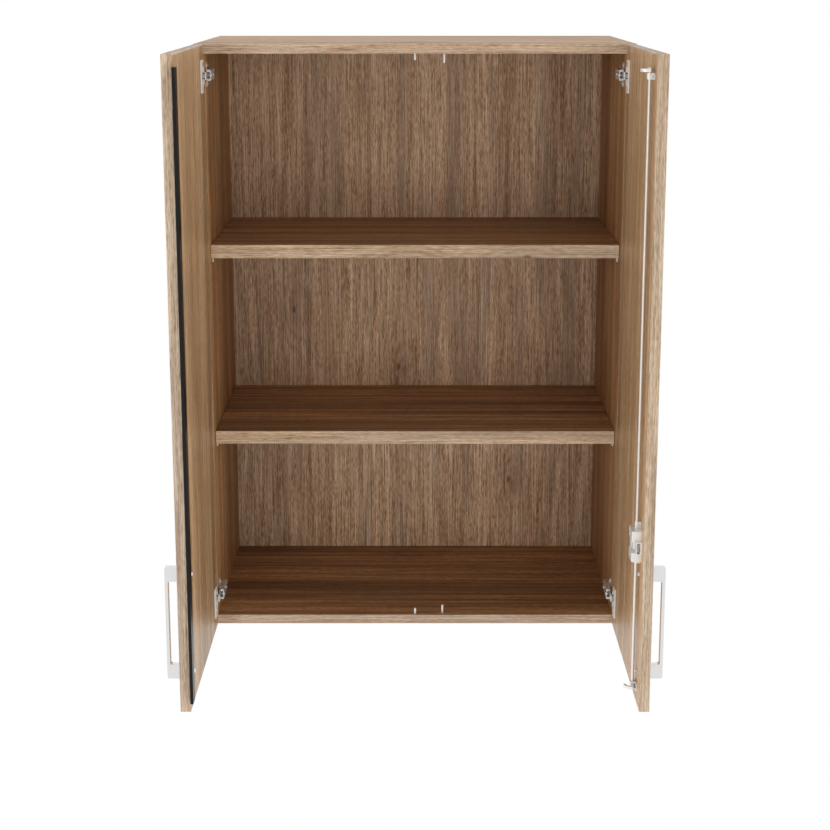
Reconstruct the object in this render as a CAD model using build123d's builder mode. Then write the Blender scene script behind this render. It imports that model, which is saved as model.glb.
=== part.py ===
import os
from build123d import *

# Wall cabinet with two hinged doors, shown with both doors standing open at a right angle.
# All lengths are in millimetres. Z is up, the front faces -Y and the wall plane is y = 0.
# The origin lies midway between the two hanger holes, on the wall plane.

# Carcass
cabinet_width = 800.0
cabinet_height = 1110.0
carcass_depth = 420.0
board = 18.0
edge_band = 2.0
edge_radius = 1.0
hanger_drop = 70.0
hole_spare = 1.0
half_width = cabinet_width / 2
inner_half = half_width - board
top_z = hanger_drop
base_z = top_z - cabinet_height
ceiling_z = top_z - board
floor_z = base_z + board
front_y = -carcass_depth
board_depth = carcass_depth - edge_band
board_mid_y = -board_depth / 2
side_mid_x = half_width - board / 2

# Back panel, held in grooves with a shallow space behind it
back_thickness = 8.0
back_face_y = front_y + 403.0
back_mid_y = back_face_y + back_thickness / 2
groove_depth = 6.0
back_tongue = 5.5

# Shelves and their supports
shelf_thickness = 25.0
shelf_width = 2 * inner_half - 2.0
shelf_front_y = front_y + 30.0
shelf_back_y = back_face_y - 1.0
lower_shelf_z = base_z + 378.0 - shelf_thickness
upper_shelf_z = base_z + 738.0 - shelf_thickness
support_rows = (front_y + 57.0, back_face_y - 57.0)
support_half = 4.0
support_height = 11.0
support_reach = 10.0
support_sheet = 2.0
support_bevel = 1.5
support_pin_r = 2.5
support_pin_drop = 6.5
support_pin_length = 10.0

# Corner dowels
dowel_r = 4.0
dowel_in_panel = 11.0
dowel_in_side = 19.0
dowel_rows = (-60.0, -210.0, -360.0)

# Hangers let into the rear edges of the sides
hanger_sheet = 2.5
hanger_width = 46.0
hanger_height = 80.0
hanger_corner = 8.0
hanger_outer_x = 396.0
hanger_inner_x = hanger_outer_x - hanger_width
hanger_mid_x = hanger_outer_x - hanger_width / 2
hanger_hole_x = 364.0
hanger_hole_r = 5.0
hanger_screw_x = 391.5
hanger_screw_z = 27.0
hanger_screw_r = 2.0
hanger_screw_head_r = 4.0
hanger_screw_head = 2.0
hanger_screw_length = 35.0

# Pins under the top panel and on the bottom panel
pin_r = 2.5
pin_sunk = 10.0
pin_chamfer = 0.6
lock_pin_x = 53.0
lock_pin_y = front_y + 9.9
lock_pin_length = 17.0
stop_pin_x = 0.0
stop_pin_y = front_y + 6.0
stop_pin_length = 12.0

# Doors, open at rest
door_width = 397.0
door_reveal = 1.0
door_gap = 5.5
hinge_edge_y = front_y - door_gap
free_y = hinge_edge_y - door_width
door_mid_y = (hinge_edge_y + free_y) / 2
door_low_z = base_z + door_reveal
door_height = cabinet_height - 2 * door_reveal
door_mid_z = base_z + cabinet_height / 2

# Concealed hinges: pivot and cup
pivot_x = -391.5
pivot_y = front_y - 12.5
hinge_rows = (base_z + 57.0, top_z - 57.0)
hinge_pin_r = 1.2
hinge_pin_half = 9.4
cup_r = 17.5
cup_wall = 1.0
cup_rim = 1.0
cup_depth = 14.0
cup_y = hinge_edge_y - 20.5
flange_sheet = 2.0
flange_width = 25.0
flange_height = 59.0
flange_corner = 3.0
notch_y = cup_y + 16.5
notch_length = 5.0
notch_height = 11.0
notch_depth = 6.0
cup_screw_y = cup_y - 9.5
cup_screw_z = 22.5
cup_screw_r = 1.75
cup_screw_head_r = 3.4
cup_screw_head = 1.6
cup_screw_length = 14.0

# Concealed hinges: arm, measured from the pivot and from the carcass front
knuckle_r = 2.3
knuckle_bore_r = 1.55
link_half = 3.5
link_sheet = 2.0
link_drop = 1.6
leg_near_x = pivot_x + 12.9
leg_sheet = 2.2
leg_half = 7.0
leg_front_y = pivot_y - link_drop - link_sheet / 2
leg_bend = 1.5
channel_top_x = pivot_x + 21.0
channel_front_y = front_y + 8.0
channel_back_y = front_y + 64.0
channel_height = 20.0
channel_rise = 9.0
channel_sheet = 1.5
channel_corner = 2.4
nose_length = 10.0
nose_back_y = channel_front_y + nose_length
nose_rise = 8.4
nose_window_rise = nose_rise - channel_sheet - 2.5
nose_window_height = 12.8
nose_window_corner = 0.9
arm_screw_r = 2.5
arm_screw_head_r = 3.8
arm_screw_head = 1.8
arm_screw_slot = 5.0
arm_screw_slot_width = 1.0
adjust_screw_y = front_y + 12.5
adjust_screw_length = 4.5
clamp_screw_y = front_y + 46.0
clamp_screw_length = 10.0

# Concealed hinges: mounting plate
plate_y = front_y + 37.0
plate_width = 12.0
plate_height = 46.0
plate_corner = 5.0
plate_sheet = 2.0
plate_block_y = front_y + 43.0
plate_block_length = 31.0
plate_block_rise = 7.5
plate_screw_z = 16.0
plate_screw_r = 2.5
plate_screw_head_r = 4.5
plate_screw_head = 2.0
plate_screw_sunk = 10.5

# Handles
handle_y = free_y + 48.0
handle_z = base_z + 144.0
handle_length = 202.0
handle_reach = 27.0
handle_grip = 6.0
handle_leg = 25.5
handle_depth = 12.0
handle_corner = 3.0
handle_edge = 0.8
handle_spacing = 176.0
handle_screw_r = 2.0
handle_screw_head_r = 4.0
handle_screw_head = 2.4
handle_screw_grip = 11.0
screw_head_chamfer = 1.0

# Meeting strip on the left door
strip_thickness = 6.0
strip_seat = 13.0
strip_bevel = 2.0
strip_overhang = 12.0
strip_relief = 0.5
strip_lip = 1.2
strip_low_z = base_z + 20.0
strip_length = 1069.0
strip_rib_near = 5.0
strip_rib_far = 8.0
strip_rib_depth = 5.0
strip_groove_depth = strip_rib_depth + 0.5

# Rotary rod lock on the right door: rod and case
rod_r = 2.5
rod_chamfer = 0.5
rod_y = free_y + 45.0
rod_x = inner_half - 6.4
rod_bore_r = 2.8
rod_low_z = base_z + 22.0
rod_high_z = base_z + 1086.0
lock_z = base_z + 288.0
rotor_r = 5.8
rotor_gap = 1.0
rotor_flat = 5.2
case_near_y = free_y + 25.0
case_far_y = free_y + 62.0
case_mid_y = (case_near_y + case_far_y) / 2
case_width = case_far_y - case_near_y
case_plate = 4.0
case_rise = 17.0
case_corner = 1.5
case_top = 27.0
case_upper = 10.0
case_lower = -11.5
case_bottom = -27.0
case_bay_mid_z = lock_z + (case_upper + case_lower) / 2
case_wall_y = rod_y + rotor_r + rotor_gap
case_wall_rise = 15.0
snout_near_y = free_y + 17.0
snout_far_y = free_y + 31.0
snout_mid_z = lock_z - 1.0
snout_rise = 11.0
snout_height = 22.0
slot_height = 19.0
slot_width = 5.6
slot_depth = 11.0
slot_rib_x = 0.95
slot_rib_width = 0.8
slot_rib_depth = 8.0
sleeve_r = 3.6
sleeve_top = 39.0
sleeve_bottom = -35.0
case_screw_y = free_y + 56.0
case_screw_rows = (lock_z + 18.5, lock_z - 19.0)
case_screw_r = 2.0
case_screw_head_r = 3.6
case_screw_head = 2.4
case_screw_sink = 3.0
lock_screw_sunk = 12.0

# Rotary rod lock: cylinder and plug
cylinder_r = 9.0
cylinder_bore_r = 6.6
cylinder_flange_r = 12.0
cylinder_flange = 2.5
plug_r = 6.2
plug_inset = 1.0
plug_recess = 0.2
keyway_width = 1.6
keyway_height = 8.0
keyway_step_y = 0.9
keyway_step_z = 1.5
keyway_step_width = 1.4
keyway_step_height = 2.0
keyway_depth = 12.0

# Rotary rod lock: hooks and guides
hook_low_z = base_z + 31.0
hook_high_z = base_z + 1082.0
hook_hub_r = 4.1
hook_hub_height = 6.0
hook_height = 5.0
hook_inner_r = 12.3
hook_outer_r = 16.5
hook_mid_r = (hook_inner_r + hook_outer_r) / 2
hook_half = (hook_outer_r - hook_inner_r) / 2
hook_arm_angle = 265.0
hook_tip_angle = 197.0
hook_sweep = hook_arm_angle - hook_tip_angle
guide_low_z = base_z + 24.0
guide_high_z = base_z + 1067.0
guide_low_height = 14.0
guide_high_height = 10.0
guide_low_lug = 3.0
guide_lug_r = 5.0
guide_ear = 15.0
guide_corner = 2.5
guide_sheet = 1.8
guide_screw_offset = 11.5
guide_screw_r = 1.5
guide_screw_head_r = 2.9
guide_screw_head = 1.8

# Working planes on the vertical board faces: x runs front to back, y runs up, normal along +X
outer_left = Plane(origin=(-half_width, 0, 0), x_dir=(0, 1, 0), z_dir=(1, 0, 0))
inner_left = Plane(origin=(-inner_half, 0, 0), x_dir=(0, 1, 0), z_dir=(1, 0, 0))
inner_right = Plane(origin=(inner_half, 0, 0), x_dir=(0, 1, 0), z_dir=(1, 0, 0))
outer_right = Plane(origin=(half_width, 0, 0), x_dir=(0, 1, 0), z_dir=(1, 0, 0))
arm_top_left = Plane(origin=(channel_top_x, 0, 0), x_dir=(0, 1, 0), z_dir=(1, 0, 0))

# Repeated positions
dowel_points = [(side * side_mid_x, row) for side in (-1, 1) for row in dowel_rows]
pin_points = [(lock_pin_x, lock_pin_y), (stop_pin_x, stop_pin_y)]
shelf_undersides = (lower_shelf_z, upper_shelf_z)
support_points = [
    (row, under - support_pin_drop) for row in support_rows for under in shelf_undersides
]
hanger_screws_at = [
    (side * hanger_screw_x, rise) for side in (-1, 1) for rise in (-hanger_screw_z, hanger_screw_z)
]
cups_at = [(cup_y, row) for row in hinge_rows]
flanges_at = [(cup_screw_y, row) for row in hinge_rows]
plate_screws_at = [
    (plate_y, row + rise) for row in hinge_rows for rise in (-plate_screw_z, plate_screw_z)
]
cup_screws_at = [
    (cup_screw_y, row + rise) for row in hinge_rows for rise in (-cup_screw_z, cup_screw_z)
]
adjust_screws_at = [(adjust_screw_y, row) for row in hinge_rows]
clamp_screws_at = [(clamp_screw_y, row) for row in hinge_rows]
handle_screws_at = [
    (handle_y, handle_z - handle_spacing / 2),
    (handle_y, handle_z + handle_spacing / 2),
]
case_screws_at = [(case_screw_y, row) for row in case_screw_rows]
guide_screws_at = [
    (rod_y + shift, row)
    for shift in (-guide_screw_offset, guide_screw_offset)
    for row in (guide_low_z + guide_low_height / 2, guide_high_z + guide_high_height / 2)
]

os.makedirs("parts", exist_ok=True)


# Top and bottom panels: full width over and under the sides, grooved for the back, bored for dowels
# and pins; outward is the way from the inner face to the outer one
def end_panel(inner_z, outward):
    with BuildPart() as panel:
        with BuildSketch(Plane.XY.offset(inner_z)):
            with Locations((0, board_mid_y)):
                Rectangle(cabinet_width - 2 * edge_band, board_depth)
        extrude(amount=outward * board)
        with BuildSketch(Plane.XY.offset(inner_z)):
            with Locations((0, back_mid_y)):
                Rectangle(2 * (inner_half + groove_depth), back_thickness)
        extrude(amount=outward * groove_depth, mode=Mode.SUBTRACT)
        with BuildSketch(Plane.XY.offset(inner_z)):
            with Locations(*dowel_points):
                Circle(dowel_r)
        extrude(amount=outward * (dowel_in_panel + hole_spare), mode=Mode.SUBTRACT)
        with BuildSketch(Plane.XY.offset(inner_z)):
            with Locations(*pin_points):
                Circle(pin_r)
        extrude(amount=outward * pin_sunk, mode=Mode.SUBTRACT)
    return panel


top_panel = end_panel(ceiling_z, 1)
bottom_panel = end_panel(floor_z, -1)

# Left side: grooved, bored for dowels, shelf supports and hinge plates, pocketed for its hanger
with BuildPart() as side_panel_left:
    with BuildSketch(Plane.XY.offset(floor_z)):
        with Locations((-side_mid_x, board_mid_y)):
            Rectangle(board, board_depth)
        with Locations((-(inner_half + groove_depth / 2), back_mid_y)):
            Rectangle(groove_depth, back_thickness, mode=Mode.SUBTRACT)
    extrude(amount=ceiling_z - floor_z)
    for end_z, inward in ((ceiling_z, -1), (floor_z, 1)):
        with BuildSketch(Plane.XY.offset(end_z)):
            with Locations(*dowel_points):
                Circle(dowel_r)
        extrude(amount=inward * (dowel_in_side + hole_spare), mode=Mode.SUBTRACT)
    with BuildSketch(inner_left):
        with Locations(*support_points):
            Circle(support_pin_r)
        with Locations(*plate_screws_at):
            Circle(plate_screw_r)
    extrude(amount=-(plate_screw_sunk + hole_spare), mode=Mode.SUBTRACT)
    with BuildSketch(Plane.XZ):
        with Locations((-(hanger_outer_x + inner_half) / 2, 0)):
            Rectangle(hanger_outer_x - inner_half, hanger_height)
    extrude(amount=hanger_sheet, mode=Mode.SUBTRACT)
    with BuildSketch(Plane.XZ):
        with Locations(*hanger_screws_at):
            Circle(hanger_screw_r)
    extrude(amount=hanger_screw_length + hole_spare, mode=Mode.SUBTRACT)

# Right side: mirror image of the left
with BuildPart() as side_panel_right:
    mirror(side_panel_left.part, about=Plane.YZ)

# Back panel: thin board let into the grooves all round
with BuildPart() as back_panel:
    with BuildSketch(Plane.XZ.offset(-(back_face_y + back_thickness))):
        with Locations((0, (ceiling_z + floor_z) / 2)):
            Rectangle(2 * (inner_half + back_tongue), ceiling_z - floor_z + 2 * back_tongue)
    extrude(amount=back_thickness)

# Front edge bands of the top and bottom panels
with BuildPart() as panel_edge_bands:
    for low_z in (base_z, ceiling_z):
        with BuildSketch(Plane.XY.offset(low_z)):
            with Locations((0, front_y + edge_band / 2)):
                Rectangle(cabinet_width, edge_band)
        extrude(amount=board)
    fillet(panel_edge_bands.edges().filter_by(Axis.X).group_by(Axis.Y)[0], edge_radius)

# Bands on the left and right ends of the top and bottom panels
with BuildPart() as panel_end_bands:
    for low_z in (base_z, ceiling_z):
        with BuildSketch(Plane.XY.offset(low_z)):
            with GridLocations(cabinet_width - edge_band, 0, 2, 1):
                with Locations((0, board_mid_y)):
                    Rectangle(edge_band, board_depth)
        extrude(amount=board)
    fillet(panel_end_bands.edges().filter_by(Axis.Y).group_by(Axis.X)[0], edge_radius)
    fillet(panel_end_bands.edges().filter_by(Axis.Y).group_by(Axis.X)[-1], edge_radius)

# Front edge bands of the sides
with BuildPart() as side_edge_bands:
    with BuildSketch(Plane.XY.offset(floor_z)):
        with Locations((-side_mid_x, front_y + edge_band / 2), (side_mid_x, front_y + edge_band / 2)):
            Rectangle(board, edge_band)
    extrude(amount=ceiling_z - floor_z)
    fillet(side_edge_bands.edges().filter_by(Axis.Z).group_by(Axis.Y)[0], edge_radius)


# Shelves: thicker boards, set back behind the doors
def shelf_board(underside):
    with BuildPart() as shelf:
        with BuildSketch(Plane.XY.offset(underside)):
            with Locations((0, (shelf_front_y + edge_band + shelf_back_y) / 2)):
                Rectangle(shelf_width, shelf_back_y - shelf_front_y - edge_band)
        extrude(amount=shelf_thickness)
    return shelf


shelf_lower = shelf_board(lower_shelf_z)
shelf_upper = shelf_board(upper_shelf_z)

# Front edge bands of the shelves
with BuildPart() as shelf_edge_bands:
    for under in shelf_undersides:
        with BuildSketch(Plane.XY.offset(under)):
            with Locations((0, shelf_front_y + edge_band / 2)):
                Rectangle(shelf_width, edge_band)
        extrude(amount=shelf_thickness)
    fillet(shelf_edge_bands.edges().filter_by(Axis.X).group_by(Axis.Y)[0], edge_radius)

# Shelf supports: bent L with a pin that plugs into the side
with BuildPart() as shelf_supports:
    for row in support_rows:
        with BuildSketch(Plane.XZ.offset(-(row + support_half))):
            for under in shelf_undersides:
                with BuildLine():
                    Polyline(
                        (-inner_half, under),
                        (-inner_half + support_reach, under),
                        (-inner_half + support_reach, under - support_sheet),
                        (-inner_half + support_sheet + support_bevel, under - support_sheet),
                        (-inner_half + support_sheet, under - support_sheet - support_bevel),
                        (-inner_half + support_sheet, under - support_height),
                        (-inner_half, under - support_height),
                        close=True,
                    )
                make_face()
        extrude(amount=2 * support_half)
    with BuildSketch(inner_left):
        with Locations(*support_points):
            Circle(support_pin_r)
    extrude(amount=-support_pin_length)
    mirror(about=Plane.YZ)

# Corner dowels
with BuildPart() as corner_dowels:
    for low_z in (ceiling_z - dowel_in_side, floor_z - dowel_in_panel):
        with BuildSketch(Plane.XY.offset(low_z)):
            with Locations(*dowel_points):
                Circle(dowel_r)
        extrude(amount=dowel_in_panel + dowel_in_side)

# Hanger plates: flat steel with one hanging hole and two countersunk screw holes
with BuildPart() as hanger_plates:
    with BuildSketch(Plane.XZ) as hanger_outline:
        with Locations((-hanger_mid_x, 0), (hanger_mid_x, 0)):
            Rectangle(hanger_width, hanger_height)
        inner_corners = hanger_outline.vertices().filter_by_position(
            Axis.X, -hanger_inner_x - 1, hanger_inner_x + 1
        )
        fillet(inner_corners, hanger_corner)
        with Locations((-hanger_hole_x, 0), (hanger_hole_x, 0)):
            Circle(hanger_hole_r, mode=Mode.SUBTRACT)
    extrude(amount=hanger_sheet)
    with BuildSketch(Plane.XZ):
        with Locations(*hanger_screws_at):
            Circle(hanger_screw_head_r)
    extrude(amount=hanger_screw_head, taper=45, mode=Mode.SUBTRACT)
    with BuildSketch(Plane.XZ):
        with Locations(*hanger_screws_at):
            Circle(hanger_screw_r)
    extrude(amount=hanger_sheet, mode=Mode.SUBTRACT)

# Countersunk screws of the hanger plates
with BuildPart() as hanger_screws:
    with BuildSketch(Plane.XZ):
        with Locations(*hanger_screws_at):
            Circle(hanger_screw_head_r)
    extrude(amount=hanger_screw_head, taper=45)
    with BuildSketch(Plane.XZ):
        with Locations(*hanger_screws_at):
            Circle(hanger_screw_r)
    extrude(amount=hanger_screw_length)


# Pins standing on the bottom panel and hanging from the top one
def pin_pair(x, y, length):
    with BuildPart() as pins:
        for low_z in (floor_z - pin_sunk, ceiling_z - length):
            with BuildSketch(Plane.XY.offset(low_z)):
                with Locations((x, y)):
                    Circle(pin_r)
            extrude(amount=pin_sunk + length)
        chamfer(pins.edges().filter_by(GeomType.CIRCLE), pin_chamfer)
    return pins


# Lock pins, which the rod hooks catch behind, and stop pins, which the meeting strip closes against
lock_pins = pin_pair(lock_pin_x, lock_pin_y, lock_pin_length)
stop_pins = pin_pair(stop_pin_x, stop_pin_y, stop_pin_length)

# Hinge mounting plates: winged base with a raised block for the arm
with BuildPart() as hinge_plates_left:
    with BuildSketch(inner_left):
        with Locations(*[(plate_y, row) for row in hinge_rows]):
            RectangleRounded(plate_width, plate_height, plate_corner)
    extrude(amount=plate_sheet)
    with BuildSketch(inner_left):
        with Locations(*[(plate_block_y, row) for row in hinge_rows]):
            Rectangle(plate_block_length, channel_height - 2 * channel_sheet)
    extrude(amount=plate_block_rise)
    with BuildSketch(inner_left):
        with Locations(*plate_screws_at):
            Circle(plate_screw_r)
        with Locations(*clamp_screws_at):
            Circle(arm_screw_r)
    extrude(amount=plate_block_rise, mode=Mode.SUBTRACT)

with BuildPart() as hinge_plates_right:
    mirror(hinge_plates_left.part, about=Plane.YZ)

# Pan-head screws of the mounting plates
with BuildPart() as hinge_plate_screws:
    with BuildSketch(inner_left.offset(plate_sheet)):
        with Locations(*plate_screws_at):
            Circle(plate_screw_head_r)
    extrude(amount=plate_screw_head)
    chamfer(hinge_plate_screws.edges().group_by(Axis.X)[-1], screw_head_chamfer)
    with BuildSketch(inner_left.offset(plate_sheet)):
        with Locations(*plate_screws_at):
            Circle(plate_screw_r)
    extrude(amount=-(plate_sheet + plate_screw_sunk))
    mirror(about=Plane.YZ)

# Hinge arms: a link out of the cup, a broad leg back to a boxed nose, and a channel over the plate
with BuildPart() as hinge_arms_left:
    for row in hinge_rows:
        with BuildSketch(Plane.XY.offset(row - link_half)):
            with BuildLine():
                Polyline(
                    (pivot_x, pivot_y + link_sheet / 2),
                    (leg_near_x, pivot_y + link_sheet / 2 - link_drop),
                    (leg_near_x, leg_front_y),
                    (pivot_x, pivot_y - link_sheet / 2),
                    close=True,
                )
            make_face()
            with Locations((pivot_x, pivot_y)):
                Circle(knuckle_r)
                Circle(knuckle_bore_r, mode=Mode.SUBTRACT)
        extrude(amount=2 * link_half)
        with BuildSketch(Plane.XY.offset(row - leg_half)) as leg_outline:
            with Locations((leg_near_x + leg_sheet / 2, (leg_front_y + nose_back_y) / 2)):
                Rectangle(leg_sheet, nose_back_y - leg_front_y)
            fillet(leg_outline.vertices().group_by(Axis.Y)[0].sort_by(Axis.X)[-1], leg_bend)
        extrude(amount=2 * leg_half)
        with BuildSketch(Plane.XZ.offset(-nose_back_y)):
            with Locations((channel_top_x - nose_rise / 2, row)):
                RectangleRounded(nose_rise, channel_height, channel_corner)
            with Locations((channel_top_x - channel_sheet - nose_window_rise / 2, row)):
                RectangleRounded(
                    nose_window_rise, nose_window_height, nose_window_corner, mode=Mode.SUBTRACT
                )
        extrude(amount=nose_length)
        with BuildSketch(Plane.XZ.offset(-channel_back_y)) as channel_outline:
            with Locations((channel_top_x - channel_rise / 2, row)):
                Rectangle(channel_rise, channel_height)
            fillet(channel_outline.vertices().group_by(Axis.X)[-1], channel_corner)
            with Locations((channel_top_x - (channel_rise + channel_sheet) / 2, row)):
                Rectangle(
                    channel_rise - channel_sheet,
                    channel_height - 2 * channel_sheet,
                    mode=Mode.SUBTRACT,
                )
        extrude(amount=channel_back_y - nose_back_y)
    with BuildSketch(arm_top_left):
        with Locations(*adjust_screws_at, *clamp_screws_at):
            Circle(arm_screw_r)
    extrude(amount=-channel_sheet, mode=Mode.SUBTRACT)

with BuildPart() as hinge_arms_right:
    mirror(hinge_arms_left.part, about=Plane.YZ)

# Clamp and adjusting screws of the arms, with a cross-shaped driver slot
with BuildPart() as hinge_arm_screws:
    with BuildSketch(arm_top_left):
        with Locations(*adjust_screws_at, *clamp_screws_at):
            Circle(arm_screw_head_r)
    extrude(amount=arm_screw_head)
    with BuildSketch(arm_top_left.offset(arm_screw_head)):
        with Locations(*adjust_screws_at, *clamp_screws_at):
            Rectangle(arm_screw_slot, arm_screw_slot_width)
            Rectangle(arm_screw_slot_width, arm_screw_slot)
    extrude(amount=-arm_screw_slot_width, mode=Mode.SUBTRACT)
    for screws_at, length in (
        (adjust_screws_at, adjust_screw_length),
        (clamp_screws_at, clamp_screw_length),
    ):
        with BuildSketch(arm_top_left):
            with Locations(*screws_at):
                Circle(arm_screw_r)
        extrude(amount=-length)
    mirror(about=Plane.YZ)

# Hinge cups: drilled-in pot under a flat flange, notched where the link leaves it
with BuildPart() as hinge_cups_left:
    with BuildSketch(inner_left):
        with Locations(*cups_at):
            Circle(cup_r + cup_rim)
        with Locations(*flanges_at):
            RectangleRounded(flange_width, flange_height, flange_corner)
    extrude(amount=flange_sheet)
    with BuildSketch(inner_left):
        with Locations(*cups_at):
            Circle(cup_r)
    extrude(amount=-cup_depth)
    with BuildSketch(inner_left.offset(flange_sheet)):
        with Locations(*cups_at):
            Circle(cup_r - cup_wall)
    extrude(amount=-(flange_sheet + cup_depth - cup_wall), mode=Mode.SUBTRACT)
    with BuildSketch(inner_left.offset(flange_sheet)):
        with Locations(*[(notch_y, row) for row in hinge_rows]):
            Rectangle(notch_length, notch_height)
    extrude(amount=-(flange_sheet + notch_depth), mode=Mode.SUBTRACT)
    with BuildSketch(inner_left.offset(flange_sheet)):
        with Locations(*cup_screws_at):
            Circle(cup_screw_head_r)
    extrude(amount=-cup_screw_head, taper=45, mode=Mode.SUBTRACT)
    with BuildSketch(inner_left.offset(flange_sheet)):
        with Locations(*cup_screws_at):
            Circle(cup_screw_r)
    extrude(amount=-flange_sheet, mode=Mode.SUBTRACT)
    for row in hinge_rows:
        with BuildSketch(Plane.XY.offset(row - hinge_pin_half)):
            with Locations((pivot_x, pivot_y)):
                Circle(hinge_pin_r)
        extrude(amount=2 * hinge_pin_half, mode=Mode.SUBTRACT)

with BuildPart() as hinge_cups_right:
    mirror(hinge_cups_left.part, about=Plane.YZ)

# Pivot pins across the cups
with BuildPart() as hinge_pins_left:
    for row in hinge_rows:
        with BuildSketch(Plane.XY.offset(row - hinge_pin_half)):
            with Locations((pivot_x, pivot_y)):
                Circle(hinge_pin_r)
        extrude(amount=2 * hinge_pin_half)

with BuildPart() as hinge_pins_right:
    mirror(hinge_pins_left.part, about=Plane.YZ)

# Countersunk screws of the cups
with BuildPart() as cup_screws_left:
    with BuildSketch(inner_left.offset(flange_sheet)):
        with Locations(*cup_screws_at):
            Circle(cup_screw_head_r)
    extrude(amount=-cup_screw_head, taper=45)
    with BuildSketch(inner_left.offset(flange_sheet)):
        with Locations(*cup_screws_at):
            Circle(cup_screw_r)
    extrude(amount=-cup_screw_length)

with BuildPart() as cup_screws_right:
    mirror(cup_screws_left.part, about=Plane.YZ)


# Door board, bored for its hinge cups, cup screws and handle screws; outward is the way to its outer face
def door_board(inner_face, outward):
    with BuildPart() as door:
        with BuildSketch(inner_face):
            with Locations((door_mid_y, door_mid_z)):
                Rectangle(door_width - 2 * edge_band, door_height - 2 * edge_band)
        extrude(amount=outward * board)
        with BuildSketch(inner_face):
            with Locations(*cups_at):
                Circle(cup_r)
        extrude(amount=outward * cup_depth, mode=Mode.SUBTRACT)
        with BuildSketch(inner_face):
            with Locations(*cup_screws_at):
                Circle(cup_screw_r)
        extrude(amount=outward * (cup_screw_length - flange_sheet + hole_spare), mode=Mode.SUBTRACT)
        with BuildSketch(inner_face):
            with Locations(*handle_screws_at):
                Circle(handle_screw_r)
        extrude(amount=outward * board, mode=Mode.SUBTRACT)
    return door


# Left door: grooved for the meeting strip
with BuildPart() as door_panel_left:
    add(door_board(inner_left, -1).part)
    with BuildSketch(Plane.XY.offset(strip_low_z)):
        with Locations(
            (-inner_half - strip_groove_depth / 2, free_y + (strip_rib_near + strip_rib_far) / 2)
        ):
            Rectangle(strip_groove_depth, strip_rib_far - strip_rib_near)
    extrude(amount=strip_length, mode=Mode.SUBTRACT)

# Right door: bored for the lock cylinder and the screws of the lock case and rod guides
with BuildPart() as door_panel_right:
    add(door_board(inner_right, 1).part)
    with BuildSketch(inner_right):
        with Locations((rod_y, lock_z)):
            Circle(cylinder_r)
    extrude(amount=board, mode=Mode.SUBTRACT)
    with BuildSketch(inner_right):
        with Locations(*case_screws_at):
            Circle(case_screw_r)
        with Locations(*guide_screws_at):
            Circle(guide_screw_r)
    extrude(amount=lock_screw_sunk + hole_spare, mode=Mode.SUBTRACT)

# Edge bands round each door: long strips full height, short strips between them
with BuildPart() as door_edge_bands_left:
    with BuildSketch(outer_left):
        with Locations((free_y + edge_band / 2, door_mid_z), (hinge_edge_y - edge_band / 2, door_mid_z)):
            Rectangle(edge_band, door_height)
    extrude(amount=board)
    fillet(door_edge_bands_left.edges().filter_by(Axis.Z).group_by(Axis.Y)[0], edge_radius)
    fillet(door_edge_bands_left.edges().filter_by(Axis.Z).group_by(Axis.Y)[-1], edge_radius)

with BuildPart() as door_edge_bands_right:
    mirror(door_edge_bands_left.part, about=Plane.YZ)

with BuildPart() as door_end_bands_left:
    with BuildSketch(outer_left):
        with Locations(
            (door_mid_y, door_low_z + edge_band / 2),
            (door_mid_y, door_low_z + door_height - edge_band / 2),
        ):
            Rectangle(door_width - 2 * edge_band, edge_band)
    extrude(amount=board)
    fillet(door_end_bands_left.edges().filter_by(Axis.Y).group_by(Axis.Z)[0], edge_radius)
    fillet(door_end_bands_left.edges().filter_by(Axis.Y).group_by(Axis.Z)[-1], edge_radius)

with BuildPart() as door_end_bands_right:
    mirror(door_end_bands_left.part, about=Plane.YZ)

# Left handle: flat D with two broad legs, rounded corners and broken edges
with BuildPart() as handle_left:
    with BuildSketch(Plane.XZ.offset(-(handle_y + handle_depth / 2))) as handle_outline:
        with Locations((-half_width - handle_reach / 2, handle_z)):
            Rectangle(handle_reach, handle_length)
        fillet(handle_outline.vertices().group_by(Axis.X)[0], handle_corner)
        with Locations((-half_width - (handle_reach - handle_grip) / 2, handle_z)):
            Rectangle(
                handle_reach - handle_grip,
                handle_length - 2 * handle_leg,
                mode=Mode.SUBTRACT,
            )
        window_x = -half_width - handle_reach + handle_grip
        window_corners = handle_outline.vertices().filter_by_position(Axis.X, window_x - 0.1, window_x + 0.1)
        fillet(window_corners, handle_corner)
    extrude(amount=handle_depth)
    rims = handle_left.edges().filter_by_position(Axis.X, -half_width - handle_reach - 1, -half_width - 0.1)
    fillet(rims.filter_by(Axis.Y, reverse=True), handle_edge)
    with BuildSketch(outer_left):
        with Locations(*handle_screws_at):
            Circle(handle_screw_r)
    extrude(amount=-(handle_screw_grip + hole_spare), mode=Mode.SUBTRACT)

with BuildPart() as handle_right:
    mirror(handle_left.part, about=Plane.YZ)

# Handle screws: pan heads on the inside of the door
with BuildPart() as handle_screws_left:
    with BuildSketch(inner_left):
        with Locations(*handle_screws_at):
            Circle(handle_screw_head_r)
    extrude(amount=handle_screw_head)
    chamfer(handle_screws_left.edges().group_by(Axis.X)[-1], screw_head_chamfer)
    with BuildSketch(inner_left):
        with Locations(*handle_screws_at):
            Circle(handle_screw_r)
    extrude(amount=-(board + handle_screw_grip))

with BuildPart() as handle_screws_right:
    mirror(handle_screws_left.part, about=Plane.YZ)

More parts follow.
